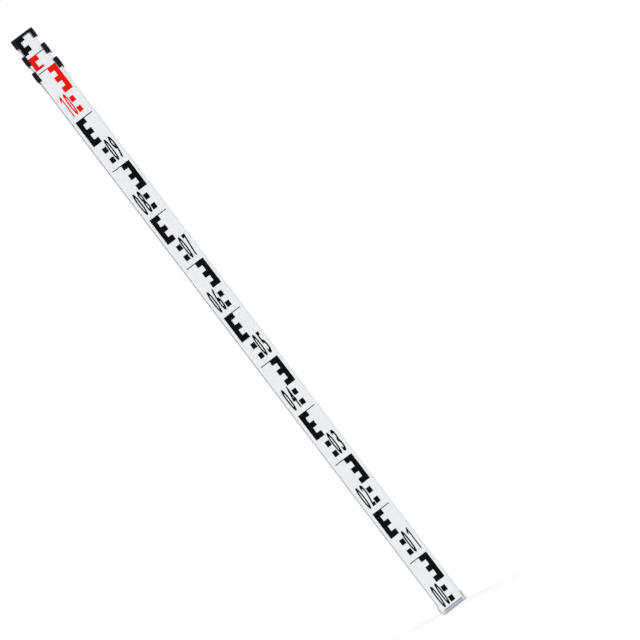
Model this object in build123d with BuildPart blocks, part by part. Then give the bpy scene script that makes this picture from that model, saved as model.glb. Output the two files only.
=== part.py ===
from build123d import *
from dataclasses import dataclass
from math import cos, radians, sin, tan
import os

# Telescopic levelling staff of three nested aluminium sections, closed and standing on its shoe.
# Millimetres. +Z runs up the staff from the middle of the sole, -Y is its front and +Y its back.

# Lengths along the staff
outer_length = 1098.5
middle_reveal = 31.0  # end of the middle section above the end of the outer one
inner_reveal = 30.0  # end of the inner section above the end of the middle one
middle_travel = 870.0  # closed to locked out
inner_travel = 960.0

# Cross-sections
outer_width = 46.4
outer_depth = 24.0
outer_back_flat = 30.8
flat_step = 0.6  # how much narrower the back flat of the next section is
wall = 1.2
slide_gap = 1.0  # all round, between one section and the next
shoulder_angle = 45.0
front_radius = 2.4
shoulder_radius = 3.0
back_radius = 2.0
least_radius = 0.4
face_rim = 2.0  # raised rim at each edge of the front face
face_recess = 0.4
wall_cut = 4 * wall  # long enough to pass one wall
staff_cut = 2 * outer_width  # long enough to pass the whole staff

# Collars, cap and shoe
collar_height = 18.8
outer_collar_proud = 2.8
middle_collar_proud = 2.8
band_crown = 0.6  # how far a band draws in at its ends
band_bevel = 0.4
collar_corner = 1.2  # radius of the upright corners at the back
collar_lip = 2.0
lip_gap = 0.35
seat_gap = 0.05
outer_front_gap = 35.8  # between the two ears at the front
middle_front_gap = 31.6
ear_proud = 1.2  # ears beyond the front face
cap_front_gap = 28.2
cap_height = 16.8
cap_top_plate = 4.8
cap_proud = 2.8
cap_bevel = 0.5
shoe_height = 16.0
shoe_floor = 6.5
shoe_bulge_height = 9.5
shoe_bulge = 2.1
shoe_top_proud = 0.7
shoe_corner = 4.0
shoe_bevel = 0.4
shoe_strip_width = 35.6  # flat strip under the front face
shoe_front_gap = 43.0  # above that strip, between the two ears
shoe_strip_proud = 0.4  # strip beyond the front face
shoe_ear_proud = 0.9

# Rocker key in the outer collar
skirt_height = 19.7
skirt_side = 0.45
cheek_width = 4.2  # flat of the skirt beside the key
cheek_proud = 4.0
cheek_ramp = 6.0  # height over which the skirt dives into the band
skirt_draw = 0.5  # how far the cheeks draw in at their lower end
skirt_bevel = 0.6
key_width = 24.4
key_gap = 0.3
key_arch = 3.5  # rise of the key's top edge at its middle
key_overhang = 2.8  # skirt below the key's lower end
key_crown = 6.0  # top of the key above the tube's back
key_edge = 4.0  # side edge of the key above the tube's back
key_clear = 1.6  # underside of the key's ends above the tube's back
key_boss_clear = 0.6
key_boss = 3.6
key_radius = 0.9
key_end_radius = 3.0
pivot_height = 9.2  # above the key's lower end
pivot_out = 2.1  # pin axis above the tube's back
pin_radius = 0.9
pin_gap = 0.05
pin_seat_gap = 0.02
pin_grip = 5.0  # length held in each cheek
catch_arm = 9.0
catch_width = 12.0
catch_thickness = 3.0
catch_gap = 0.6
ride_gap = 0.3  # tooth above the middle section while it slides
spring_leaf = 0.35
spring_width = 10.0
spring_length = 6.4
spring_offset = 5.4  # middle of the leaf spring below the pin
spring_gap = 0.15

# Foot plugs
plug_flange = 9.0
plug_spigot = 12.0
plug_wall = 2.5
guide_gap = 0.35
plug_fit = 0.1

# Spring button of the inner section
button_rise = 78.5  # above the lower end of the inner tube
button_radius = 4.0
button_flange_radius = 5.5
button_flange = 1.0
button_chamfer = 0.6
button_stroke = 3.0  # from riding in the middle tube to standing out of its hole
button_gap = 0.3
hole_gap = 0.4
snap_leaf = 0.6
snap_width = 10.0
snap_overlap = 7.0  # leaf past the middle of the button
snap_length = 53.0  # button to the bend
snap_front_leg = 38.0

# Fasteners
screw_radius = 2.0
screw_gap = 0.05
plug_pin_reach = 2.2  # into the plug's wall
slot_length = 2.6
slot_width = 0.7
slot_depth = 0.7
rivet_head_radius = 3.5
rivet_head = 1.4
rivet_crown_radius = 2.2
rivet_radius = 1.6
rivet_tail_radius = 2.4
rivet_tail = 1.4
rivet_dimple_radius = 1.0
rivet_dimple = 0.5


@dataclass
class Section:
    """Outside of one cross-section: a box whose two back edges are cut off by shoulders."""

    width: float
    depth: float
    back_flat: float


def nested(section):
    """Cross-section that slides inside another one."""
    step = 2 * (wall + slide_gap)
    return Section(section.width - step, section.depth - step, section.back_flat - flat_step)


def outline(section, height, grow=0.0, back_corner=None):
    """Face of a cross-section at a height, with its edge moved out.

    Its four back corners move out with it, or take a radius of their own where one is given.
    """
    half_width = section.width / 2 + grow
    half_depth = section.depth / 2 + grow
    half_flat = section.back_flat / 2 + grow * tan(radians(shoulder_angle / 2))
    shoulder_y = half_depth - (half_width - half_flat) * tan(radians(shoulder_angle))
    right = [(half_width, -half_depth), (half_width, shoulder_y), (half_flat, half_depth)]
    left = [(-x, y) for x, y in reversed(right)]
    radii = [max(radius + grow, least_radius) for radius in (front_radius, shoulder_radius, back_radius)]
    if back_corner is not None:
        radii[1:] = [back_corner, back_corner]
    with BuildSketch(Plane.XY.offset(height)) as face:
        with BuildLine():
            FilletPolyline(*right, *left, radius=radii + radii[::-1], close=True)
        make_face()
    return face.sketch


def back_faces(section, grow):
    """Direction in degrees from +X, and distance, of the back of a section and of its two shoulders."""
    half_depth = section.depth / 2 + grow
    half_flat = section.back_flat / 2 + grow * tan(radians(shoulder_angle / 2))
    slope = radians(shoulder_angle)
    shoulder = half_flat * sin(slope) + half_depth * cos(slope)
    return [(90, half_depth), (90 - shoulder_angle, shoulder), (90 + shoulder_angle, shoulder)]


def tube(section, bottom, top):
    """Hollow section whose front face lies a little below its two rims."""
    with BuildPart() as body:
        extrude(outline(section, bottom), amount=top - bottom)
        extrude(outline(section, bottom, -wall), amount=top - bottom, mode=Mode.SUBTRACT)
        with BuildSketch(Plane.XY.offset(bottom)):
            with Locations((0, -section.depth / 2)):
                Rectangle(section.width - 2 * face_rim, 2 * face_recess)
        extrude(amount=top - bottom, mode=Mode.SUBTRACT)
    return body.part


def bow(turn, reach, heights, draws, edge_bevel):
    """Slab whose one face bows out to a reach and draws in towards bevelled ends."""
    bottom, full, top = heights
    low_end, high_end = (reach - draws[0], bottom), (reach - draws[1], top)
    outward = Vector(1, 0, 0).rotate(Axis.Z, turn)
    with BuildPart() as body:
        with BuildSketch(Plane((0, 0, 0), outward, outward.cross(Vector(0, 0, 1)))) as profile:
            with BuildLine():
                ThreePointArc(low_end, (reach, full), high_end)
                Polyline(high_end, (-staff_cut, top), (-staff_cut, bottom), low_end)
            make_face()
            chamfer(profile.vertices().sort_by(Axis.X)[-2:], edge_bevel)
        extrude(amount=staff_cut, both=True)
    return body.part


def barrel(section, heights, proud, front_proud, draws, edge_bevel, corner):
    """Solid round a section whose faces all bow out, the front one by an amount of its own."""
    bottom, _, top = heights
    half_width = section.width / 2 + proud
    front_draws = [draw * front_proud / proud for draw in draws]
    with BuildPart() as body:
        extrude(outline(section, bottom, proud, corner), amount=top - bottom)
        for turn, reach in back_faces(section, proud) + [(0, half_width), (180, half_width)]:
            add(bow(turn, reach, heights, draws, edge_bevel), mode=Mode.INTERSECT)
        front = bow(-90, section.depth / 2 + front_proud, heights, front_draws, edge_bevel)
        add(front, mode=Mode.INTERSECT)
    return body.part


def band(section, bottom, top, proud, edge_bevel):
    """Solid barrel round a section, fullest at its middle."""
    heights = (bottom, (bottom + top) / 2, top)
    return barrel(section, heights, proud, ear_proud, (band_crown, band_crown), edge_bevel, collar_corner)


def front_opening(section, bottom, top, gap, inward):
    """Block that opens a collar between its two ears, from its front to inward of the front face."""
    with BuildPart() as body:
        with BuildSketch(Plane.XY.offset(bottom)):
            with Locations((0, inward - section.depth / 2)):
                Rectangle(gap, section.depth, align=(Align.CENTER, Align.MAX))
        extrude(amount=top - bottom)
    return body.part


def flush_pin(seat, reach, grow=0.0):
    """Headless screw or pin whose end lies in a seat plane, or with grow the hole that takes it."""
    with BuildPart(seat) as body:
        with Locations((0, 0, -reach / 2)):
            Cylinder(screw_radius + grow, reach)
    return body.part


def cross_slots(seat):
    """The two slots of a screw's cross recess."""
    with BuildPart(seat) as body:
        with Locations((0, 0, -slot_depth / 2)):
            Box(slot_length, slot_width, slot_depth)
            Box(slot_width, slot_length, slot_depth)
    return body.part


def side_seats(half_width, height):
    """Seat planes of the two screws that face each other across the staff."""
    right = Plane(origin=(half_width, 0, height), x_dir=(0, 1, 0), z_dir=(1, 0, 0))
    left = Plane(origin=(-half_width, 0, height), x_dir=(0, 1, 0), z_dir=(-1, 0, 0))
    return [right, left]


def back_seat(back, height):
    """Seat plane of a fastener in the middle of the back."""
    return Plane(origin=(0, back, height), x_dir=(1, 0, 0), z_dir=(0, 1, 0))


def foot_plug(bore, section, bottom):
    """Moulded plug: its flange runs in a bore, its spigot sits in the end of a section."""
    with BuildPart() as body:
        extrude(outline(bore, bottom, -wall - guide_gap), amount=plug_flange)
        spigot_bottom = bottom + plug_flange
        extrude(outline(section, spigot_bottom, -wall - plug_fit), amount=plug_spigot)
        hollow = plug_flange + plug_spigot - plug_wall
        skin = 2 * (wall + plug_fit + plug_wall)
        with BuildSketch(Plane.XY.offset(bottom)):
            Rectangle(section.back_flat - skin, section.depth - skin)
        extrude(amount=hollow, mode=Mode.SUBTRACT)
    return body.part


def key_outline(half_width, bottom, side_top, arch_top):
    """Arched outline of the key, or of its window, on the tube's back."""
    with BuildSketch(Plane.XZ.offset(-outer.depth / 2)) as face:
        with BuildLine():
            left_top, right_top = (-half_width, side_top), (half_width, side_top)
            Polyline(left_top, (-half_width, bottom), (half_width, bottom), right_top)
            ThreePointArc(right_top, (0, arch_top), left_top)
        make_face()
    return face.sketch


outer = Section(outer_width, outer_depth, outer_back_flat)
middle = nested(outer)
inner = nested(middle)
skirt_flat = key_width + 2 * (key_gap + cheek_width)
skirt = Section(outer.width + 2 * skirt_side, outer.depth + 2 * cheek_proud, skirt_flat)

# Heights of the closed staff
outer_bottom = shoe_floor
outer_top = outer_bottom + outer_length
middle_bottom = shoe_floor + plug_flange
middle_top = outer_top + middle_reveal
inner_foot = middle_bottom + plug_spigot
inner_bottom = inner_foot + plug_flange
inner_top = middle_top + inner_reveal
staff_top = inner_top + cap_top_plate
outer_collar_top = outer_top + collar_lip
outer_band_bottom = outer_collar_top - collar_height
skirt_bottom = outer_band_bottom - skirt_height
middle_collar_top = middle_top + collar_lip
middle_band_bottom = middle_collar_top - collar_height
cap_bottom = staff_top - cap_height

# Places of the lock
outer_back = outer.depth / 2
middle_back = middle.depth / 2
inner_back = inner.depth / 2
key_bottom = skirt_bottom + key_overhang
key_half = key_width / 2
key_side_top = outer_band_bottom
key_top = key_side_top + key_arch
pivot_z = key_bottom + pivot_height
pivot_y = outer_back + pivot_out
catch_z = pivot_z + catch_arm
catch_tip = middle_back + ride_gap
window_half = key_half + key_gap
button_z = inner_bottom + button_rise
button_tip = middle_back - wall - button_gap
button_base = inner_back - wall - button_stroke - button_flange

# Seats of the fasteners
outer_collar_mid = outer_collar_top - collar_height / 2
middle_collar_mid = middle_collar_top - collar_height / 2
outer_collar_seats = side_seats(outer.width / 2 + outer_collar_proud, outer_collar_mid)
middle_collar_seats = side_seats(middle.width / 2 + middle_collar_proud, middle_collar_mid)
middle_plug_seats = side_seats(middle.width / 2, middle_bottom + plug_spigot / 2)
inner_plug_seats = side_seats(inner.width / 2, inner_bottom + plug_spigot / 2)
shoe_seat = back_seat(outer_back + shoe_bulge, shoe_bulge_height)
rivet_seat = back_seat(inner_back + cap_proud, staff_top - cap_height / 2)
outer_collar_reach = outer_collar_proud + wall
middle_collar_reach = middle_collar_proud + wall
shoe_reach = shoe_bulge + wall
plug_reach = wall + plug_fit + plug_pin_reach

# Outer section, with the slot that lets the key's tooth through
with BuildPart() as outer_tube:
    add(tube(outer, outer_bottom, outer_top))
    for seat in outer_collar_seats:
        add(flush_pin(seat, outer_collar_reach, screw_gap), mode=Mode.SUBTRACT)
    add(flush_pin(shoe_seat, shoe_reach, screw_gap), mode=Mode.SUBTRACT)
    with Locations((0, outer_back, catch_z)):
        Box(
            catch_width + 2 * catch_gap,
            wall_cut,
            catch_thickness + 2 * catch_gap,
            mode=Mode.SUBTRACT,
        )

# Middle section, with the hole that the tooth drops into and the hole for the inner section's button
with BuildPart() as middle_tube:
    add(tube(middle, middle_bottom, middle_top))
    for seat in middle_collar_seats:
        add(flush_pin(seat, middle_collar_reach, screw_gap), mode=Mode.SUBTRACT)
    for seat in middle_plug_seats:
        add(flush_pin(seat, plug_reach, screw_gap), mode=Mode.SUBTRACT)
    with Locations((0, middle_back, catch_z - middle_travel)):
        Box(
            catch_width + 2 * catch_gap,
            wall_cut,
            catch_thickness + 2 * catch_gap,
            mode=Mode.SUBTRACT,
        )
    with Locations(Location((0, middle_back, button_z + inner_travel), (90, 0, 0))):
        Cylinder(button_radius + hole_gap, wall_cut, mode=Mode.SUBTRACT)

# Inner section, with the hole that its button stands in
with BuildPart() as inner_tube:
    add(tube(inner, inner_bottom, inner_top))
    for seat in inner_plug_seats:
        add(flush_pin(seat, plug_reach, screw_gap), mode=Mode.SUBTRACT)
    with Locations(Location((0, inner_back, button_z), (90, 0, 0))):
        Cylinder(button_radius + button_gap, wall_cut, mode=Mode.SUBTRACT)
    with BuildSketch(rivet_seat):
        Circle(rivet_radius + screw_gap)
    extrude(amount=-(cap_proud + 2 * wall), mode=Mode.SUBTRACT)

# Shoe: a cup whose sides swell above the sole, with a flat strip under the front face
with BuildPart() as base_shoe:
    shoe_heights = (0, shoe_bulge_height, shoe_height)
    shoe_draws = (shoe_bulge, shoe_bulge - shoe_top_proud)
    add(barrel(outer, shoe_heights, shoe_bulge, shoe_ear_proud, shoe_draws, shoe_bevel, shoe_corner))
    extrude(outline(outer, shoe_floor, seat_gap), amount=shoe_height, mode=Mode.SUBTRACT)
    add(front_opening(outer, 0, shoe_floor, shoe_strip_width, -shoe_strip_proud), mode=Mode.SUBTRACT)
    add(front_opening(outer, shoe_floor, shoe_height, shoe_front_gap, wall), mode=Mode.SUBTRACT)
    add(flush_pin(shoe_seat, shoe_reach, screw_gap), mode=Mode.SUBTRACT)

# Skirt of the outer collar: hugs the back half of the tube and dives into the band above
with BuildPart() as skirt_body:
    skirt_heights = (skirt_bottom, pivot_z, outer_band_bottom + cheek_ramp)
    skirt_draws = (skirt_draw, cheek_proud - outer_collar_proud + band_crown)
    extrude(outline(skirt, skirt_bottom, 0, collar_corner), amount=skirt_heights[-1] - skirt_bottom)
    for turn, reach in back_faces(skirt, 0):
        add(bow(turn, reach, skirt_heights, skirt_draws, skirt_bevel), mode=Mode.INTERSECT)
    opening = front_opening(outer, skirt_bottom, outer_collar_top, staff_cut, outer.depth / 2)
    add(opening, mode=Mode.SUBTRACT)

# Outer collar: a band open at the front, and the skirt with the key's window
with BuildPart() as outer_collar:
    add(band(outer, outer_band_bottom, outer_collar_top, outer_collar_proud, band_bevel))
    add(skirt_body.part)
    extrude(outline(outer, skirt_bottom, seat_gap), amount=outer_top - skirt_bottom, mode=Mode.SUBTRACT)
    extrude(outline(middle, outer_top, lip_gap), amount=collar_lip, mode=Mode.SUBTRACT)
    ear_room = wall + slide_gap
    opening = front_opening(outer, outer_band_bottom, outer_collar_top, outer_front_gap, ear_room)
    add(opening, mode=Mode.SUBTRACT)
    window = key_outline(window_half, skirt_bottom, key_side_top + key_gap, key_top + key_gap)
    extrude(window, amount=-2 * key_crown, mode=Mode.SUBTRACT)
    with Locations(Location((0, pivot_y, pivot_z), (0, 90, 0))):
        Cylinder(pin_radius + pin_seat_gap, staff_cut, mode=Mode.SUBTRACT)
    for seat in outer_collar_seats:
        add(flush_pin(seat, outer_collar_reach, screw_gap), mode=Mode.SUBTRACT)

# Key: a crowned rocker on its pin, thumb end below and catch tooth above
with BuildPart() as lock_key:
    crown_y = outer_back + key_crown
    edge_y = outer_back + key_edge
    under_y = outer_back + key_clear
    boss_y = outer_back + key_boss_clear
    with BuildSketch(Plane.XY.offset(key_bottom)):
        with BuildLine():
            left_edge, right_edge = (-key_half, edge_y), (key_half, edge_y)
            Polyline(left_edge, (-key_half, under_y), (key_half, under_y), right_edge)
            ThreePointArc(right_edge, (0, crown_y), left_edge)
        make_face()
    extrude(amount=key_top - key_bottom)
    fillet(lock_key.edges().filter_by(Axis.Z).group_by(Axis.Y)[-1], key_radius)
    key_face = key_outline(key_half, key_bottom, key_side_top, key_top)
    extrude(key_face, amount=-2 * key_crown, mode=Mode.INTERSECT)
    with BuildSketch(Plane.YZ) as key_side:
        with Locations((under_y, key_bottom)):
            Rectangle(crown_y - under_y, key_top - key_bottom, align=Align.MIN)
        fillet(key_side.vertices().group_by(Axis.X)[-1], key_end_radius)
    extrude(amount=key_half, both=True, mode=Mode.INTERSECT)
    with BuildSketch(Plane.YZ):
        with BuildLine():
            Polyline(
                (boss_y, pivot_z - key_boss / 2),
                (boss_y, pivot_z + key_boss / 2),
                (under_y, pivot_z + key_boss),
                (under_y, pivot_z - key_boss),
                close=True,
            )
        make_face()
    extrude(amount=key_half, both=True)
    with Locations((0, (catch_tip + under_y) / 2, catch_z)):
        Box(catch_width, under_y - catch_tip, catch_thickness)
    with Locations(Location((0, pivot_y, pivot_z), (0, 90, 0))):
        Cylinder(pin_radius + pin_gap, staff_cut, mode=Mode.SUBTRACT)

# Pin that the key rocks on, held in the skirt's two cheeks
with BuildPart() as lock_pivot_pin:
    with Locations(Location((0, pivot_y, pivot_z), (0, 90, 0))):
        Cylinder(pin_radius, 2 * (window_half + pin_grip))

# Leaf spring that lifts the key's thumb end, arched between the tube's back and the key
with BuildPart() as lock_spring:
    spring_z = pivot_z - spring_offset
    spring_top = outer_back + key_clear - spring_gap
    spring_low = spring_z - spring_length / 2
    spring_high = spring_z + spring_length / 2
    leaf_y = outer_back + spring_leaf
    with BuildSketch(Plane.YZ):
        with BuildLine():
            ThreePointArc((leaf_y, spring_low), (spring_top, spring_z), (leaf_y, spring_high))
            Line((leaf_y, spring_high), (outer_back, spring_high))
            ThreePointArc(
                (outer_back, spring_high),
                (spring_top - spring_leaf, spring_z),
                (outer_back, spring_low),
            )
            Line((outer_back, spring_low), (leaf_y, spring_low))
        make_face()
    extrude(amount=spring_width / 2, both=True)

# Middle collar: a plain band open at the front
with BuildPart() as middle_collar:
    add(band(middle, middle_band_bottom, middle_collar_top, middle_collar_proud, band_bevel))
    tube_room = middle_top - middle_band_bottom
    extrude(outline(middle, middle_band_bottom, seat_gap), amount=tube_room, mode=Mode.SUBTRACT)
    extrude(outline(inner, middle_top, lip_gap), amount=collar_lip, mode=Mode.SUBTRACT)
    opening = front_opening(middle, middle_band_bottom, middle_collar_top, middle_front_gap, ear_room)
    add(opening, mode=Mode.SUBTRACT)
    for seat in middle_collar_seats:
        add(flush_pin(seat, middle_collar_reach, screw_gap), mode=Mode.SUBTRACT)

# Cap: closes the inner section and keeps two ears on its front
with BuildPart() as top_cap:
    add(band(inner, cap_bottom, staff_top, cap_proud, cap_bevel))
    extrude(outline(inner, cap_bottom, seat_gap), amount=inner_top - cap_bottom, mode=Mode.SUBTRACT)
    add(front_opening(inner, cap_bottom, inner_top, cap_front_gap, wall), mode=Mode.SUBTRACT)
    with BuildSketch(rivet_seat):
        Circle(rivet_radius + screw_gap)
    extrude(amount=-(cap_proud + 2 * wall), mode=Mode.SUBTRACT)

# Foot plugs, stacked on the shoe's floor when the staff is closed
with BuildPart() as middle_foot_plug:
    add(foot_plug(outer, middle, shoe_floor))
    for seat in middle_plug_seats:
        add(flush_pin(seat, plug_reach, screw_gap), mode=Mode.SUBTRACT)

with BuildPart() as inner_foot_plug:
    add(foot_plug(middle, inner, inner_foot))
    for seat in inner_plug_seats:
        add(flush_pin(seat, plug_reach, screw_gap), mode=Mode.SUBTRACT)

# Spring button: a stem with a flange that stops it in the inner tube's hole
with BuildPart() as snap_button:
    button_plane = Plane(origin=(0, 0, button_z), x_dir=(0, 1, 0), z_dir=(1, 0, 0))
    flange_y = button_base + button_flange
    with BuildSketch(button_plane):
        with BuildLine():
            Polyline(
                (button_tip, 0),
                (button_base, 0),
                (button_base, button_flange_radius),
                (flange_y, button_flange_radius),
                (flange_y, button_radius),
                (button_tip - button_chamfer, button_radius),
                (button_tip, button_radius - button_chamfer),
                close=True,
            )
        make_face()
    revolve(axis=Axis((0, 0, button_z), (0, 1, 0)))

# Bent leaf spring behind the button, braced on the inner tube's front wall
with BuildPart() as snap_spring:
    front_leg_y = -inner_back + wall + snap_leaf / 2
    back_leg_y = button_base - snap_leaf / 2
    bend_z = button_z - snap_length
    with BuildSketch(Plane.YZ):
        with BuildLine():
            Line((front_leg_y, bend_z + snap_front_leg), (front_leg_y, bend_z))
            ThreePointArc(
                (front_leg_y, bend_z),
                ((front_leg_y + back_leg_y) / 2, bend_z - (back_leg_y - front_leg_y) / 2),
                (back_leg_y, bend_z),
            )
            Line((back_leg_y, bend_z), (back_leg_y, button_z + snap_overlap))
        trace(line_width=snap_leaf)
    extrude(amount=snap_width / 2, both=True)

# Fasteners: screws outside, plain pins in the plugs
fastener_groups = {
    "base_shoe_screw": ([shoe_seat], shoe_reach, True),
    "outer_collar_screws": (outer_collar_seats, outer_collar_reach, True),
    "middle_collar_screws": (middle_collar_seats, middle_collar_reach, True),
    "middle_plug_pins": (middle_plug_seats, plug_reach, False),
    "inner_plug_pins": (inner_plug_seats, plug_reach, False),
}
fasteners = {}
for name, (seats, reach, slotted) in fastener_groups.items():
    with BuildPart() as group:
        for seat in seats:
            add(flush_pin(seat, reach))
            if slotted:
                add(cross_slots(seat), mode=Mode.SUBTRACT)
    fasteners[name] = group

with BuildPart(rivet_seat) as top_cap_rivet:
    shank = cap_proud + wall + rivet_tail
    with Locations((0, 0, rivet_head / 2)):
        Cone(rivet_head_radius, rivet_crown_radius, rivet_head)
    with Locations((0, 0, -shank / 2)):
        Cylinder(rivet_radius, shank)
    with Locations((0, 0, -shank + rivet_tail / 2)):
        Cylinder(rivet_tail_radius, rivet_tail)
    with Locations((0, 0, rivet_head)):
        Cylinder(rivet_dimple_radius, 2 * rivet_dimple, mode=Mode.SUBTRACT)

pieces = {
    "outer_tube": outer_tube,
    "middle_tube": middle_tube,
    "inner_tube": inner_tube,
    "base_shoe": base_shoe,
    "outer_collar": outer_collar,
    "lock_key": lock_key,
    "lock_pivot_pin": lock_pivot_pin,
    "lock_spring": lock_spring,
    "middle_collar": middle_collar,
    "top_cap": top_cap,
    "top_cap_rivet": top_cap_rivet,
    "middle_foot_plug": middle_foot_plug,
    "inner_foot_plug": inner_foot_plug,
    "snap_button": snap_button,
    "snap_spring": snap_spring,
    **fasteners,
}
os.makedirs("parts", exist_ok=True)
for name, piece in pieces.items():
    piece.part.label = name
    export_step(piece.part, f"parts/{name}.step")
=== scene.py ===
from math import ceil, cos, floor, radians, sin

import bmesh
import bpy
from mathutils import Matrix, Vector
from mathutils.geometry import delaunay_2d_cdt


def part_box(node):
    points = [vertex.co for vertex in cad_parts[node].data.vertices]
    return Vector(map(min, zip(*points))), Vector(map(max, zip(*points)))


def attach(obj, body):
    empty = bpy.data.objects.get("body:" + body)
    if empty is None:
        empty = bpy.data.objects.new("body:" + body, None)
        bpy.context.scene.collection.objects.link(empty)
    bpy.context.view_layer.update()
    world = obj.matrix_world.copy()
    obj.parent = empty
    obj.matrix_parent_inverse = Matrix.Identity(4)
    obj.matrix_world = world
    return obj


# Telescopic levelling staff: finishes, printed scales, light and camera, in the frame of the solids.
# Blender works in metres, and the sizes of the printed scales are written in millimetres.

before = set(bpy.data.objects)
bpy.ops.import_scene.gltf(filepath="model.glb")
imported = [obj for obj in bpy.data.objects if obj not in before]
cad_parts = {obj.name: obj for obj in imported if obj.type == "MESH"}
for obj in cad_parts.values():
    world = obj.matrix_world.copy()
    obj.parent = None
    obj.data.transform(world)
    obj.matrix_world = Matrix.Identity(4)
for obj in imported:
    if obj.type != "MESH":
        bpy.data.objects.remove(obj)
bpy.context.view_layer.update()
MM = 0.001

# Camera, seen from the front of the staff
camera_lens = 100.0
camera_sensor = 36.0
camera_distance = 2.896
camera_azimuth = -2.28
camera_elevation = -0.99
camera_roll = -37.24
camera_aim = Vector((0.1069, -0.0116, 0.503))

# Light
world_light = 0.2
floor_glow = 0.62
floor_size = 40.0
floor_drop = 0.0003
sun_angle = 30.0  # wide, for soft shadows
suns = {  # place and strength
    "sun_front": (Vector((2.05, -1.9, 0.9)), 3.4),
    "sun_back": (Vector((-1.8, 2.2, 0.9)), 3.1),
}
cards = {  # place, target, size and power of what shines only in glossy surfaces
    "card_key": (Vector((-0.6, 2.8, 1.3)), Vector((0, 0, 1.08)), (0.7, 0.8), 21.0),
    "card_back": (Vector((-1.9, 2.3, 0.6)), Vector((0, 0, 0.6)), (1.2, 0.9), 24.0),
    "card_front": (Vector((2.1, -2.1, 0.6)), Vector((0, 0, 0.6)), (1.2, 0.9), 24.0),
}

# Sections: the reading at the height zero of the closed staff, and the readings that are printed
middle_shift = 870
inner_shift = 1830
sections = {
    "outer": {"node": "outer_tube", "shift": 0, "blocks": range(0, 11), "back": (16.2, 1071)},
    "middle": {"node": "middle_tube", "shift": middle_shift, "blocks": range(11, 20), "back": (1093, 1989)},
    "inner": {"node": "inner_tube", "shift": inner_shift, "blocks": range(20, 30), "back": (1996, 2983.5)},
}
face_rim = 2.0
face_recess = 0.4
button_hole_reading = 1945  # hole in the back of the middle section
button_hole_room = 6.6

# Block scale on the front, for one decimetre
block = 100
bar_height = 10
bar_starts = (50, 70, 90)
square_starts = (10, 30)
half_pattern = 16.5
square_width = 8.25
block_line = 1.5
block_line_bottom = 98.5
block_line_gap = 0.02  # between the line and the E
digit_bottom = 8.8
digit_height = 41.6
digit_width = 6.4
digit_start = 1.0  # from the middle of the face
digit_gap = 2.0
digit_boldness = 0.56  # added all round the strokes
digit_smoothness = 12
sharpest_corner = 0.3  # of a bolder outline, as the cosine of half its turn
weld = 1e-5  # points nearer than this are one
one_outline = [(0.06, 0), (0.36, 0), (0.36, 1), (0.14, 1), (-0.36, 0.84), (-0.36, 0.7), (0.06, 0.82)]
red_blocks = range(10, 20)

# Millimetre scale on the back, with a number at each centimetre
centimetre = 10
edge_line_place = 12.0
edge_line_width = 1.4
tick_outer = 9.8
tick_lengths = {centimetre: 3.0, 5: 2.4, 1: 1.7}
tick_width = 0.18
label_height = 3.6
label_digit_width = 2.4
label_gap = 0.6
label_boldness = 0.2
label_smoothness = 4
label_room = 2.3  # from a number's middle to the end of the print
diamond_width = 12.5
diamond_height = 9.0
diamond_digit_height = 4.6
diamond_digit_width = 2.6
diamond_digit_gap = 0.5

# Colours: the two tones that each surface varies between
tones = {
    "aluminium": ((0.66, 0.665, 0.685, 1), (0.76, 0.765, 0.78, 1)),
    "lacquer": ((0.80, 0.815, 0.845, 1), (0.85, 0.86, 0.885, 1)),
    "back_band": ((0.64, 0.65, 0.71, 1), (0.69, 0.70, 0.75, 1)),
    "cast_shoe": ((0.67, 0.67, 0.70, 1), (0.735, 0.735, 0.76, 1)),
    # painted reflection: the darker lavender tone of the shoe's flat faces turned to the front and back
    "lavender_reflection_shoe": ((0.48, 0.48, 0.55, 1), (0.54, 0.54, 0.61, 1)),
    "rivet": ((0.78, 0.78, 0.79, 1), (0.88, 0.88, 0.89, 1)),
    "plated_steel": ((0.36, 0.36, 0.37, 1), (0.48, 0.48, 0.49, 1)),
    "spring_steel": ((0.38, 0.39, 0.41, 1), (0.5, 0.51, 0.53, 1)),
    "dark_steel": ((0.06, 0.06, 0.065, 1), (0.14, 0.14, 0.15, 1)),
    "black_moulding": ((0.008, 0.0075, 0.012, 1), (0.012, 0.0115, 0.017, 1)),
    "key_moulding": ((0.005, 0.005, 0.008, 1), (0.008, 0.008, 0.011, 1)),
    "plug_moulding": ((0.05, 0.05, 0.055, 1), (0.07, 0.07, 0.075, 1)),
    "black_ink": ((0.003, 0.003, 0.004, 1), (0.006, 0.006, 0.008, 1)),
    "red_ink": ((0.82, 0.008, 0.002, 1), (0.86, 0.016, 0.006, 1)),
    "white_ink": ((0.8, 0.8, 0.82, 1), (0.72, 0.72, 0.75, 1)),
    "floor": ((0.49, 0.49, 0.49, 1), (0.51, 0.51, 0.51, 1)),
}
# Painted shade: the dark colour of the contact shadow along the shoe's sole and of the shadow just below
# the front face, and how much of it covers.
painted_shade_colour = (0.06, 0.06, 0.07, 1)
painted_shade_cover = 0.8
# Painted shade in the hole of the rivet's mandrel.
rivet_hole_shade_colour = (0.02, 0.02, 0.022, 1)

# Surfaces
aluminium_metallic = 0.1
aluminium_rim = (0.3, 0.3, 0.3, 1)  # share of its reflection at a low angle
moulded_edge = 0.0012  # radius of edges, in metres
cast_edge = 0.0012
facing = 0.75  # least lean to the front or the back of what counts as a face
# Half widths of the shoe's strip in front and plate behind, whose darker lavender tone paints the
# reflection on these flat faces
shoe_strip_half = 17.75
shoe_plate_half = 14.5
sole_painted_shadow = (0.8, 1.4)  # heights between which the painted contact shadow along the sole fades
strip_painted_shadow = (5.0, 5.5)  # heights between which the painted shadow below the front face sets in
rivet_hole = (0.95, 1.05)  # radii between which the edge of the painted shade in the rivet's mandrel hole lies

# Thickness of the prints, and how far they reach into what carries them
ink = 0.05
sink = 0.02
second_ink = 0.03


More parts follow.
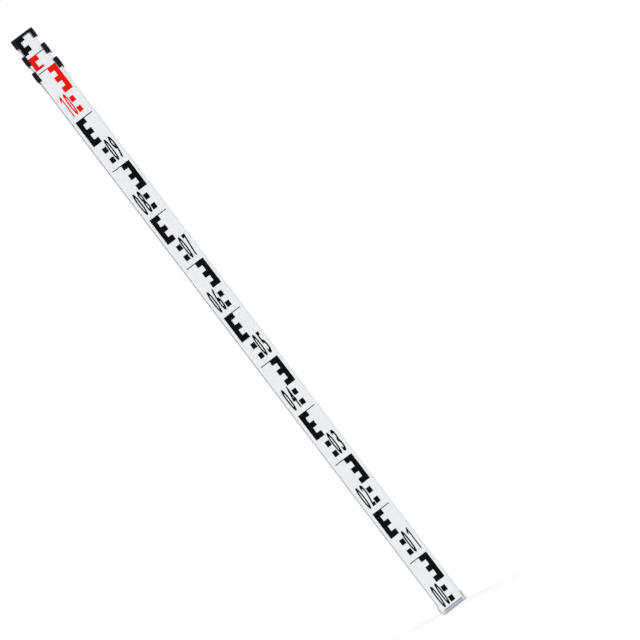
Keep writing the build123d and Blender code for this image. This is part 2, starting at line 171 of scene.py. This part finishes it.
def look_from(azimuth, elevation, roll):
    """Directions right, up and back of a camera that looks at the staff."""
    a, e, r = radians(azimuth), radians(elevation), radians(roll)
    back = Vector((sin(a) * cos(e), -cos(a) * cos(e), sin(e)))
    level = Vector((0, 0, 1)).cross(back).normalized()
    rise = back.cross(level)
    right = cos(r) * level + sin(r) * rise
    up = cos(r) * rise - sin(r) * level
    return right, up, back


def build_camera():
    right, up, back = look_from(camera_azimuth, camera_elevation, camera_roll)
    data = bpy.data.cameras.new("camera")
    data.lens = camera_lens
    data.sensor_width = camera_sensor
    camera = bpy.data.objects.new("camera", data)
    turn = Matrix((right, up, back)).transposed().to_4x4()
    camera.matrix_world = Matrix.Translation(camera_aim + camera_distance * back) @ turn
    bpy.context.collection.objects.link(camera)
    bpy.context.scene.camera = camera


def add_lamp(data, place, target):
    lamp = bpy.data.objects.new(data.name, data)
    lamp.location = place
    lamp.rotation_mode = "QUATERNION"
    lamp.rotation_quaternion = (target - place).to_track_quat("-Z", "Y")
    lamp.visible_camera = False
    bpy.context.collection.objects.link(lamp)
    return lamp


def build_lamps():
    """A soft sun to the right of each face, and cards that give the mouldings their highlights."""
    for name, (place, strength) in suns.items():
        data = bpy.data.lights.new(name, "SUN")
        data.energy = strength
        data.angle = radians(sun_angle)
        add_lamp(data, place, Vector((0, 0, 0))).visible_glossy = False
    for name, (place, target, size, power) in cards.items():
        data = bpy.data.lights.new(name, "AREA")
        data.shape = "RECTANGLE"
        data.size, data.size_y = size
        data.energy = power
        add_lamp(data, place, target).visible_diffuse = False


class Nodes:
    """Short ways to add and join the nodes of one material."""

    def __init__(self, tree):
        self.tree = tree

    def add(self, kind, **settings):
        node = self.tree.nodes.new("ShaderNode" + kind)
        for name, value in settings.items():
            setattr(node, name, value)
        return node

    def join(self, source, socket):
        if isinstance(source, bpy.types.NodeSocket):
            self.tree.links.new(source, socket)
        else:
            socket.default_value = source

    def math(self, operation, *values):
        node = self.add("Math", operation=operation)
        for value, socket in zip(values, node.inputs):
            self.join(value, socket)
        return node.outputs[0]

    def mix(self, share, low, high):
        """Number between low and high."""
        node = self.add("Mix", data_type="FLOAT")
        for value, name in ((share, "Factor"), (low, "A"), (high, "B")):
            self.join(value, node.inputs[name])
        return node.outputs["Result"]

    def blend(self, share, low, high):
        """Colour between low and high."""
        node = self.add("Mix", data_type="RGBA")
        self.join(share, node.inputs[0])
        self.join(low, node.inputs[6])
        self.join(high, node.inputs[7])
        return node.outputs[2]

    def noise(self, stretch, detail=3.0, roughness=0.55):
        """Noise over the rest place of the piece, with so many waves in a metre along each axis."""
        coords = self.add("TexCoord")
        mapping = self.add("Mapping")
        self.join(coords.outputs["Object"], mapping.inputs["Vector"])
        mapping.inputs["Scale"].default_value = stretch
        node = self.add("TexNoise")
        self.join(mapping.outputs[0], node.inputs["Vector"])
        node.inputs["Scale"].default_value = 1.0
        node.inputs["Detail"].default_value = detail
        node.inputs["Roughness"].default_value = roughness
        return node.outputs["Fac"]

    def steps(self, value, low, high):
        """0 below low, 1 above high, and even between them."""
        node = self.add("MapRange", clamp=True)
        self.join(value, node.inputs["Value"])
        node.inputs["From Min"].default_value = low
        node.inputs["From Max"].default_value = high
        return node.outputs["Result"]

    def place(self):
        """Rest place of the surface point, as three numbers in metres."""
        parts = self.add("SeparateXYZ")
        self.join(self.add("TexCoord").outputs["Object"], parts.inputs[0])
        return parts.outputs

    def face(self, side, depth, half_width):
        """1 on the surface that faces the front or the back, beyond a depth and within a half width."""
        lean = self.add("SeparateXYZ")
        self.join(self.add("TexCoord").outputs["Normal"], lean.inputs[0])
        place = self.place()
        test, limit = ("LESS_THAN", -facing) if side == "front" else ("GREATER_THAN", facing)
        turned = self.math(test, lean.outputs["Y"], limit)
        beyond = self.math(test, place["Y"], depth)
        within = self.math("LESS_THAN", self.math("ABSOLUTE", place["X"]), half_width)
        return self.math("MULTIPLY", self.math("MULTIPLY", turned, beyond), within)

    def bump(self, height, depth, strength=1.0, edge_radius=0.0):
        """Relief of a surface, whose edges shine as if rounded."""
        node = self.add("Bump")
        if edge_radius:
            edge = self.add("Bevel", samples=6)
            edge.inputs["Radius"].default_value = edge_radius
            self.join(edge.outputs["Normal"], node.inputs["Normal"])
        self.join(height, node.inputs["Height"])
        node.inputs["Distance"].default_value = depth
        node.inputs["Strength"].default_value = strength
        return node.outputs["Normal"]


def new_material(name):
    material = bpy.data.materials.new(name)
    material.use_nodes = True
    nodes = Nodes(material.node_tree)
    return material, nodes, material.node_tree.nodes["Principled BSDF"]


def evenly(per_metre):
    """The same number of waves along each axis."""
    return (per_metre, per_metre, per_metre)


def along_staff(across, along):
    """Waves that are drawn out along the staff."""
    return (across, across, along)


def dull_metal(surface):
    """Satin surface, without the bright rim of a polished one."""
    surface.inputs["Specular IOR Level"].default_value = 0.0
    surface.inputs["Specular Tint"].default_value = aluminium_rim


def section_material(name, node):
    """Drawn aluminium, white lacquer in the front recess and a pale band behind the millimetre scale."""
    low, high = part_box(node)
    material, nodes, surface = new_material(name)
    lacquer = nodes.face("front", low.y / 2, high.x - face_rim * MM)
    band = nodes.face("back", high.y / 2, edge_line_place * MM)
    painted = nodes.math("MAXIMUM", lacquer, band)

    drawn = nodes.noise(along_staff(2600, 3.0), detail=4.0)
    cloudy = nodes.noise(along_staff(60, 14), detail=3.0)
    scuffs = nodes.steps(nodes.noise(along_staff(900, 120), detail=5.0), 0.62, 0.72)
    metal = nodes.blend(drawn, *tones["aluminium"])
    white = nodes.blend(cloudy, *tones["lacquer"])
    pale = nodes.blend(cloudy, *tones["back_band"])
    colour = nodes.blend(lacquer, nodes.blend(band, metal, pale), white)
    rough_metal = nodes.math("ADD", nodes.mix(drawn, 0.30, 0.46), nodes.math("MULTIPLY", scuffs, 0.1))
    rough_paint = nodes.mix(cloudy, 0.34, 0.48)
    nodes.join(colour, surface.inputs["Base Color"])
    nodes.join(nodes.mix(painted, aluminium_metallic, 0.0), surface.inputs["Metallic"])
    nodes.join(nodes.mix(painted, rough_metal, rough_paint), surface.inputs["Roughness"])
    dull_metal(surface)
    relief = nodes.mix(painted, drawn, nodes.math("MULTIPLY", cloudy, 0.5))
    nodes.join(nodes.bump(relief, 0.00002, 0.6), surface.inputs["Normal"])
    return material


def moulded_material(name, colour, worn, roughness, grain_depth, gloss=0.12, coat=0.0):
    """Moulded plastic with a fine grain, and a paler bloom where hands rub it."""
    material, nodes, surface = new_material(name)
    grain = nodes.noise(evenly(5200), detail=2.0)
    bloom = nodes.steps(nodes.noise(evenly(140), detail=4.0), 0.45, 0.75)
    hairs = nodes.steps(nodes.noise((700, 700, 90), detail=6.0), 0.60, 0.70)
    rub = nodes.math("MAXIMUM", nodes.math("MULTIPLY", bloom, 0.6), nodes.math("MULTIPLY", hairs, 0.5))
    nodes.join(nodes.blend(rub, colour, worn), surface.inputs["Base Color"])
    nodes.join(nodes.mix(rub, roughness, roughness + 0.12), surface.inputs["Roughness"])
    nodes.join(nodes.bump(grain, grain_depth, 0.7, moulded_edge), surface.inputs["Normal"])
    surface.inputs["Specular IOR Level"].default_value = gloss
    surface.inputs["Coat Weight"].default_value = coat
    surface.inputs["Coat Roughness"].default_value = 0.12
    return material


def metal_material(name, dark, light, roughness, stretch, depth, metallic=1.0):
    """Metal whose marks, drawn or cast, run by the stretch of its noise."""
    material, nodes, surface = new_material(name)
    marks = nodes.noise(stretch, detail=4.0)
    cloudy = nodes.noise(evenly(220), detail=3.0)
    nodes.join(nodes.blend(marks, dark, light), surface.inputs["Base Color"])
    nodes.join(nodes.mix(cloudy, roughness - 0.07, roughness + 0.09), surface.inputs["Roughness"])
    nodes.join(nodes.bump(marks, depth, 0.6), surface.inputs["Normal"])
    surface.inputs["Metallic"].default_value = metallic
    return material


def shoe_material():
    """Cast aluminium, with a darker lavender tone on the strip in front and the plate behind that paints
    the reflection on these flat faces, and painted shade along its lower edges: a contact shadow at the
    sole and a shadow just below the front face.
    """
    low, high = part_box("base_shoe")
    material, nodes, surface = new_material("cast_shoe")
    height = nodes.place()["Z"]
    # painted reflection: the faces turned to the front and back take the darker lavender tone
    strip = nodes.face("front", low.y / 2, shoe_strip_half * MM)
    plate = nodes.face("back", high.y / 2, shoe_plate_half * MM)
    reflecting_faces = nodes.math("MAXIMUM", strip, plate)
    grain = nodes.noise(evenly(900), detail=4.0)
    cloudy = nodes.noise(evenly(220), detail=3.0)
    # painted shade: a contact shadow along the sole and a shadow on the strip just below the front face
    sole_shadow = nodes.math("SUBTRACT", 1.0, nodes.steps(height, *(at * MM for at in sole_painted_shadow)))
    strip_shadow = nodes.math("MULTIPLY", strip, nodes.steps(height, *(at * MM for at in strip_painted_shadow)))
    painted_shade = nodes.math("MAXIMUM", sole_shadow, strip_shadow)
    plain = nodes.blend(grain, *tones["cast_shoe"])
    reflection_tone = nodes.blend(grain, *tones["lavender_reflection_shoe"])
    colour_before_shade = nodes.blend(reflecting_faces, plain, reflection_tone)
    colour = nodes.blend(nodes.math("MULTIPLY", painted_shade, painted_shade_cover), colour_before_shade, painted_shade_colour)
    nodes.join(colour, surface.inputs["Base Color"])
    nodes.join(nodes.mix(cloudy, 0.4, 0.56), surface.inputs["Roughness"])
    nodes.join(nodes.bump(grain, 0.00006, 0.6, cast_edge), surface.inputs["Normal"])
    surface.inputs["Metallic"].default_value = aluminium_metallic
    dull_metal(surface)
    return material


def rivet_material():
    """Bright rivet, with painted shade in the hole where its mandrel broke off."""
    low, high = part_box("top_cap_rivet")
    material, nodes, surface = new_material("bright_rivet")
    place = nodes.place()
    up = nodes.math("SUBTRACT", place["Z"], (low.z + high.z) / 2)
    squares = [nodes.math("POWER", side, 2.0) for side in (place["X"], up)]
    off = nodes.math("SQRT", nodes.math("ADD", *squares))
    bright = nodes.steps(off, *(radius * MM for radius in rivet_hole))
    turned = nodes.noise(evenly(1200), detail=4.0)
    shine = nodes.blend(turned, *tones["rivet"])
    # painted shade: a dark colour, without metal, inside the mandrel hole
    nodes.join(nodes.blend(bright, rivet_hole_shade_colour, shine), surface.inputs["Base Color"])
    nodes.join(nodes.mix(turned, 0.2, 0.34), surface.inputs["Roughness"])
    nodes.join(nodes.mix(bright, 0.0, 0.7), surface.inputs["Metallic"])
    nodes.join(nodes.bump(turned, 0.00003, 0.6), surface.inputs["Normal"])
    return material


def ink_material(name, full, thin):
    """Screen-printed ink, a little uneven in cover and gloss."""
    material, nodes, surface = new_material(name)
    cover = nodes.steps(nodes.noise(evenly(700), detail=5.0), 0.4, 0.8)
    nodes.join(nodes.blend(cover, full, thin), surface.inputs["Base Color"])
    nodes.join(nodes.mix(cover, 0.36, 0.55), surface.inputs["Roughness"])
    nodes.join(nodes.bump(cover, 0.00001, 0.5), surface.inputs["Normal"])
    surface.inputs["Specular IOR Level"].default_value = 0.025
    return material


def floor_material():
    """White floor that keeps the shadow of what stands on it."""
    material, nodes, surface = new_material("floor_white")
    tone = nodes.noise(evenly(3), detail=2.0)
    nodes.join(nodes.blend(tone, *tones["floor"]), surface.inputs["Base Color"])
    surface.inputs["Roughness"].default_value = 0.9
    surface.inputs["Specular IOR Level"].default_value = 0.1
    surface.inputs["Emission Color"].default_value = (1, 1, 1, 1)
    glow = nodes.math("MULTIPLY", shown_directly(nodes), floor_glow)
    nodes.join(glow, surface.inputs["Emission Strength"])
    return material


def shown_directly(nodes):
    """1 for what the camera sees straight, in a reflection or through glass."""
    path = nodes.add("LightPath")
    mirrored = nodes.math("MAXIMUM", path.outputs["Is Glossy Ray"], path.outputs["Is Transmission Ray"])
    return nodes.math("MAXIMUM", path.outputs["Is Camera Ray"], mirrored)


def build_world():
    world = bpy.data.worlds.new("studio")
    world.use_nodes = True
    bpy.context.scene.world = world
    nodes = Nodes(world.node_tree)
    background = world.node_tree.nodes["Background"]
    background.inputs["Color"].default_value = (1, 1, 1, 1)
    nodes.join(nodes.mix(shown_directly(nodes), world_light, 1.0), background.inputs["Strength"])


def build_floor():
    mesh = bpy.data.meshes.new("floor")
    half = floor_size / 2
    corners = [(-half, -half, -floor_drop), (half, -half, -floor_drop)]
    corners += [(half, half, -floor_drop), (-half, half, -floor_drop)]
    mesh.from_pydata(corners, [], [(0, 1, 2, 3)])
    mesh.materials.append(floor_material())
    floor = bpy.data.objects.new("floor", mesh)
    bpy.context.collection.objects.link(floor)


def thicken(points, front):
    """Closed prism, one unit thick, of flat faces that run anticlockwise for the viewer."""
    count = len(points)
    solid = [Vector((*point, depth)) for depth in (0.5, -0.5) for point in points]
    back = [[number + count for number in reversed(face)] for face in front]
    sides = {(face[place - 1], face[place]) for face in front for place in range(len(face))}
    rim = sorted((first, last) for first, last in sides if (last, first) not in sides)
    walls = [[first, first + count, last + count, last] for first, last in rim]
    return solid, front + back + walls


def prism(corners):
    """Closed prism of one outline."""
    return thicken(corners, [list(range(len(corners)))])


def glyph(digit, smoothness):
    """Outline of a digit of the plain built-in font, as points and edges with the ink at their left."""
    letter = bpy.data.curves.new("digit", "FONT")
    letter.body = digit
    letter.resolution_u = smoothness
    carrier = bpy.data.objects.new("digit", letter)
    mesh = bpy.data.meshes.new_from_object(carrier)
    bpy.data.objects.remove(carrier)
    bpy.data.curves.remove(letter)
    flat = bmesh.new()
    flat.from_mesh(mesh)
    bpy.data.meshes.remove(mesh)
    bmesh.ops.remove_doubles(flat, verts=flat.verts, dist=weld)
    rim = [edge.link_loops[0] for edge in flat.edges if edge.is_boundary]
    turned = rim[0].face.normal.z < 0
    numbers = {}
    edges = []
    for loop in rim:
        ends = (loop.vert, loop.link_loop_next.vert)
        first, last = [numbers.setdefault(vert, len(numbers)) for vert in ends]
        edges.append((last, first) if turned else (first, last))
    points = [vert.co.to_2d() for vert in numbers]
    flat.free()
    return points, edges


def embolden(points, edges, boldness):
    """Moves an outline outward."""
    out = [[] for _ in points]
    for first, last in edges:
        along = (points[last] - points[first]).normalized()
        for end in (first, last):
            out[end].append(Vector((along.y, -along.x)))
    moved = []
    for point, (one, other) in zip(points, out):
        middle = (one + other).normalized()
        moved.append(point + middle * boldness / max(middle.dot(one), sharpest_corner))
    return moved


def turns_round(place, points, edges):
    """How often an outline runs round a place."""
    turns = 0
    for first, last in edges:
        start, end = points[first] - place, points[last] - place
        if (start.y > 0) != (end.y > 0):
            ahead = start.cross(end) > 0
            if ahead == (end.y > start.y):
                turns += 1 if ahead else -1
    return turns


def inked_prism(outline, edges):
    """Closed prism of all that an outline runs round, also where it crosses itself."""
    whole_hull = 0
    points, _, triangles, *_ = delaunay_2d_cdt(outline, edges, [], whole_hull, weld)
    inked = []
    for corners in triangles:
        middle = sum((points[corner] for corner in corners), Vector((0, 0))) / 3
        if turns_round(middle, outline, edges) > 0:
            inked.append(corners)
    kept = sorted({corner for corners in inked for corner in corners})
    numbers = {corner: number for number, corner in enumerate(kept)}
    front = [[numbers[corner] for corner in corners] for corners in inked]
    return thicken([points[corner] for corner in kept], front)


def digit_shapes(width, height, boldness, smoothness):
    """Each digit as a closed prism of the given size, on its foot line and centred across."""
    outlines = {digit: glyph(digit, smoothness) for digit in "023456789"}
    nought = [point.y for point in outlines["0"][0]]
    foot = min(nought)
    tall = max(nought) - foot
    shapes = {"1": prism([(across * width, up * height) for across, up in one_outline])}
    for digit, (points, edges) in outlines.items():
        left = min(point.x for point in points)
        wide = max(point.x for point in points) - left
        for point in points:
            point.x = (point.x - left - wide / 2) * (width - 2 * boldness) / wide
            point.y = (point.y - foot) * (height - 2 * boldness) / tall + boldness
        shapes[digit] = inked_prism(embolden(points, edges, boldness), edges)
    return shapes


class Print:
    """Marks on one face of a section, each a thin closed prism. Across runs to the viewer's right."""

    def __init__(self, name, section, side, thickness=ink, base=0.0):
        _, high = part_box(sections[section]["node"])
        self.name = name
        self.body = section
        self.shift = sections[section]["shift"]
        self.top = high.z / MM
        self.out = -1 if side == "front" else 1
        back = high.y / MM
        carrier = face_recess - back if side == "front" else back
        self.inner = carrier + self.out * (base - sink)
        self.outer = carrier + self.out * (base + thickness)
        self.points = []
        self.faces = []

    def place(self, across, depth, reading):
        height = min(reading - self.shift, self.top)
        return Vector((-self.out * across, depth, height)) * MM

    def shape(self, points, faces, across=0.0, reading=0.0):
        """A closed shape, moved to its place and given the thickness of the print."""
        first = len(self.points)
        for point in points:
            depth = self.outer if point.z > 0 else self.inner
            self.points.append(self.place(across + point.x, depth, reading + point.y))
        self.faces += [[first + index for index in face] for face in faces]

    def outline(self, corners):
        """Prism of an outline that runs anticlockwise for the viewer, as (across, reading) pairs."""
        self.shape(*prism(corners))

    def bar(self, left, right, bottom, top):
        """A bar, unless it lies beyond the end of the section."""
        if bottom - self.shift < self.top:
            self.outline([(left, bottom), (right, bottom), (right, top), (left, top)])

    def digits(self, text, style, middle, bottom):
        """A number, centred across."""
        pitch, shapes = digit_styles[style]
        for place, digit in enumerate(text):
            centre = middle + pitch * (place - (len(text) - 1) / 2)
            self.shape(*shapes[digit], centre, bottom)

    def build(self, material):
        mesh = bpy.data.meshes.new(self.name)
        mesh.from_pydata(self.points, [], self.faces)
        mesh.materials.append(material)
        piece = bpy.data.objects.new(self.name, mesh)
        bpy.context.collection.objects.link(piece)
        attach(piece, self.body)


def block_marks(marks, lines, number):
    """One decimetre of the front: the E with its two squares on one side, the number on the other."""
    base = number * block
    side = 1 if number % 2 == 0 else -1
    stem = half_pattern - square_width
    corners = [(half_pattern, bar_starts[0]), (half_pattern, bar_starts[-1] + bar_height)]
    for start in reversed(bar_starts):
        corners += [(0, start + bar_height), (0, start)]
        if start != bar_starts[0]:
            corners += [(stem, start), (stem, start - bar_height)]
    corners = [(side * across, base + height) for across, height in corners]
    marks.outline(corners if side > 0 else corners[::-1])
    for start in square_starts:
        left, right = sorted((0, side * square_width))
        marks.bar(left, right, base + start, base + start + bar_height)
    middle = -side * (digit_start + digit_width + digit_gap / 2)
    marks.digits(f"{number:02d}", "block", middle, base + digit_bottom)
    left, right = sorted((-side * block_line_gap, -side * half_pattern))
    line = base + block_line_bottom
    lines.bar(left, right, line, line + block_line)


def front_scale(section):
    facts = sections[section]
    prints = {}
    for number in facts["blocks"]:
        tint = "red" if number in red_blocks else "black"
        for name in (tint, "black"):
            if name not in prints:
                prints[name] = Print(f"{section}_front_scale_{name}", section, "front")
        block_marks(prints[tint], prints["black"], number)
    for tint, marks in prints.items():
        marks.build(inks[tint])


def back_scale(section):
    """Millimetre scale between two black lines, with a number or a diamond at each centimetre."""
    first, last = sections[section]["back"]
    black = Print(f"{section}_back_scale", section, "back")
    white = Print(f"{section}_back_diamond_numbers", section, "back", second_ink, ink)
    for side in (-1, 1):
        middle = side * edge_line_place
        half = edge_line_width / 2
        black.bar(middle - half, middle + half, first, last)
    for reading in range(ceil(first), floor(last) + 1):
        step = max(size for size in tick_lengths if reading % size == 0)
        for side in (-1, 1):
            left, right = sorted((side * tick_outer, side * (tick_outer - tick_lengths[step])))
            black.bar(left, right, reading - tick_width / 2, reading + tick_width / 2)
        at_end = min(reading - first, last - reading) < label_room
        at_hole = abs(reading - button_hole_reading) < button_hole_room
        if reading % centimetre or at_end or at_hole:
            continue
        if reading % block:
            black.digits(f"{reading // centimetre:03d}", "label", 0, reading - label_height / 2)
            continue
        wide, tall = diamond_width / 2, diamond_height / 2
        black.outline([(0, reading - tall), (wide, reading), (0, reading + tall), (-wide, reading)])
        white.digits(str(reading // block), "diamond", 0, reading - diamond_digit_height / 2)
    black.build(inks["black"])
    white.build(inks["white"])


def dress(node, material):
    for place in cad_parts[node].material_slots:
        place.material = material


bpy.context.scene.view_settings.view_transform = "Standard"
digit_styles = {  # pitch and shapes
    "block": (
        digit_width + digit_gap,
        digit_shapes(digit_width, digit_height, digit_boldness, digit_smoothness),
    ),
    "label": (
        label_digit_width + label_gap,
        digit_shapes(label_digit_width, label_height, label_boldness, label_smoothness),
    ),
    "diamond": (
        diamond_digit_width + diamond_digit_gap,
        digit_shapes(diamond_digit_width, diamond_digit_height, label_boldness, label_smoothness),
    ),
}
inks = {
    "black": ink_material("ink_black", *tones["black_ink"]),
    "red": ink_material("ink_red", *tones["red_ink"]),
    "white": ink_material("ink_white", *tones["white_ink"]),
}
black_moulding = moulded_material("moulded_black", *tones["black_moulding"], 0.3, 0.00004, gloss=0.08)
key_moulding = moulded_material("moulded_key", *tones["key_moulding"], 0.16, 0.00001, gloss=0.28, coat=0.1)
plug_moulding = moulded_material("moulded_plug", *tones["plug_moulding"], 0.5, 0.00006)
steel = metal_material("plated_steel", *tones["plated_steel"], 0.38, evenly(1500), 0.00003)
spring_steel = metal_material(
    "rolled_spring_steel", *tones["spring_steel"], 0.34, along_staff(2500, 40), 0.00002
)
dark_steel = metal_material(
    "blackened_steel", *tones["dark_steel"], 0.3, evenly(1500), 0.00003, metallic=0.6
)
finishes = {
    "base_shoe": shoe_material(),
    "base_shoe_screw": dark_steel,
    "outer_collar": black_moulding,
    "middle_collar": black_moulding,
    "top_cap": black_moulding,
    "lock_key": key_moulding,
    "middle_foot_plug": plug_moulding,
    "inner_foot_plug": plug_moulding,
    "lock_spring": spring_steel,
    "snap_spring": spring_steel,
    "top_cap_rivet": rivet_material(),
}
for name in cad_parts:
    dress(name, finishes.get(name, steel))
for name, facts in sections.items():
    dress(facts["node"], section_material(f"{name}_section", facts["node"]))
    front_scale(name)
    back_scale(name)

build_camera()
build_lamps()
build_world()
build_floor()
